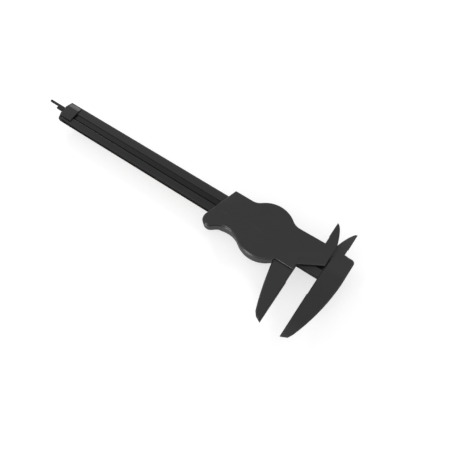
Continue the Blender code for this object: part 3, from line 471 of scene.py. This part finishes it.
def clear_plastic(name):
    """The clear window, with a haze of fine scratches."""
    made, tree, shader = new_material(name, clear_colour, clear_roughness[0])
    shader.inputs["Transmission Weight"].default_value = 1.0
    shader.inputs["IOR"].default_value = clear_index
    marks = total(tree, *[scratches(tree, *scratch) for scratch in clear_scratches])
    tree.links.new(fit(tree, marks, (0.0, 1.0), clear_roughness), shader.inputs["Roughness"])
    tree.links.new(rounded_normal(tree, marks, clear_bump), shader.inputs["Normal"])
    return made


def dress(names, made):
    """Gives CAD pieces their finish."""
    for name in names:
        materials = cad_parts[name].data.materials
        materials.clear()
        materials.append(made)


def dress_pieces():
    # The beam's tone carries painted light and shade by place
    dress(["beam"], moulded_plastic("beam_plastic", "beam", beam_shade))
    dress(["slider_body"], moulded_plastic("body_plastic", "body"))
    dress(["back_cover"], moulded_plastic("cover_plastic", "cover", None, cover_scuffs))
    dress(["end_clip"], moulded_plastic("clip_plastic", "clip"))
    # The depth rod's darker tone is painted shade
    dress(["depth_rod"], moulded_plastic("rod_plastic", "rod"))
    dress(["bezel"], moulded_plastic("bezel_plastic", "bezel"))
    dress(["rack", "pinion", "gib_strip", "movement_bridge", "inner_bush", "outer_bush", "pointer_hub"],
          metal("brass", brass_colour, brass_roughness, **brass_texture))
    screws = [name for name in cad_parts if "screw" in name]
    dress(screws + ["pointer_arbor"], metal("turned_steel", steel_colour, turned_roughness, **steel_texture))
    dress(["gib_spring", "bezel_spring"],
          metal("spring_steel", spring_colour, spring_roughness, **steel_texture))
    dress(["dial_plate"], printed("dial_enamel", dial_colour, dial_roughness))
    dress(["pointer"], printed("pointer_paint", ink_colour, pointer_roughness))
    dress(["crystal"], clear_plastic("clear_plastic"))


def add_piece(name, mesh, made, body):
    """A new piece that rides on a CAD body."""
    mesh.materials.append(made)
    piece = bpy.data.objects.new(name, mesh)
    scene.collection.objects.link(piece)
    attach(piece, body)


def bars(name, places):
    """One mesh of thin closed bars; each has a matrix at its middle, a width and a length."""
    builder = bmesh.new()
    for matrix, width, length in places:
        size = Matrix.Diagonal((width, length, mark_thickness, 1))
        bmesh.ops.create_cube(builder, size=1.0, matrix=matrix @ size)
    mesh = bpy.data.meshes.new(name)
    builder.to_mesh(mesh)
    builder.free()
    return mesh


def numbers(name, places, size):
    """One mesh of plain numbers that face down; each has its text and its middle."""
    builder = bmesh.new()
    for text, place in places:
        curve = bpy.data.curves.new(name, "FONT")
        curve.body = text
        curve.size = size
        curve.extrude = mark_thickness / 2
        curve.align_x = "CENTER"
        curve.align_y = "CENTER"
        curve.resolution_u = curve_steps
        holder = bpy.data.objects.new(name, curve)
        scene.collection.objects.link(holder)
        settled = holder.evaluated_get(bpy.context.evaluated_depsgraph_get())
        shape = bpy.data.meshes.new_from_object(settled)
        shape.transform(Matrix.Translation(place) @ Matrix.Rotation(math.pi, 4, "Y"))
        builder.from_mesh(shape)
        bpy.data.objects.remove(holder)
    bmesh.ops.remove_doubles(builder, verts=builder.verts, dist=mark_thickness * weld_share)
    mesh = bpy.data.meshes.new(name)
    builder.to_mesh(mesh)
    builder.free()
    return mesh


def mark_size(sizes, index):
    """The length and width of a mark: long at tens, middling at fives."""
    for step in sorted(sizes, reverse=True):
        if index % step == 0:
            return sizes[step]


def dial_place(angle, radius):
    """A place on the dial's face, turned from the nibs' side."""
    turned = Matrix.Rotation(angle, 4, "Z") @ Vector((0, radius, 0))
    return Vector((dial_centre.x, dial_centre.y, dial_face_z - mark_thickness / 2)) + turned


def add_dial_marks():
    ink = printed("dial_ink", ink_colour, ink_roughness)
    places = []
    for index in range(dial_divisions):
        length, width = mark_size(dial_mark_sizes, index)
        angle = math.tau * index / dial_divisions
        middle = dial_place(angle, dial_mark_outer - length / 2)
        places.append((Matrix.Translation(middle) @ Matrix.Rotation(angle, 4, "Z"), width, length))
    add_piece("dial_marks", bars("dial_marks", places), ink, "bezel")
    texts = []
    for index in range(dial_numbers):
        angle = math.tau * index / dial_numbers
        texts.append((str(index), dial_place(angle, dial_number_radius)))
    add_piece("dial_numbers", numbers("dial_numbers", texts, dial_number_size), ink, "bezel")


def add_beam_scale():
    paint = printed("scale_paint", fill_colour, scale_paint_roughness)
    zero = jaw_face_x - slider_setback
    z = beam_low.z - mark_thickness / 2
    places = []
    texts = []
    for index in range(scale_count + 1):
        length, width = mark_size(scale_mark_sizes, index)
        x = zero - index * scale_step
        places.append((Matrix.Translation((x, scale_edge_y - length / 2, z)), width, length))
        if index % scale_number_step == 0:
            texts.append((str(index), Vector((x, scale_edge_y - scale_number_drop, z))))
    add_piece("scale_marks", bars("scale_marks", places), paint, "beam")
    add_piece("scale_numbers", numbers("scale_numbers", texts, scale_number_size), paint, "beam")


add_camera()
add_sky()
add_light("key", key_place, key_size, key_power)
add_light("fill", fill_place, fill_size, fill_power)
add_floor()
dress_pieces()
add_dial_marks()
add_beam_scale()
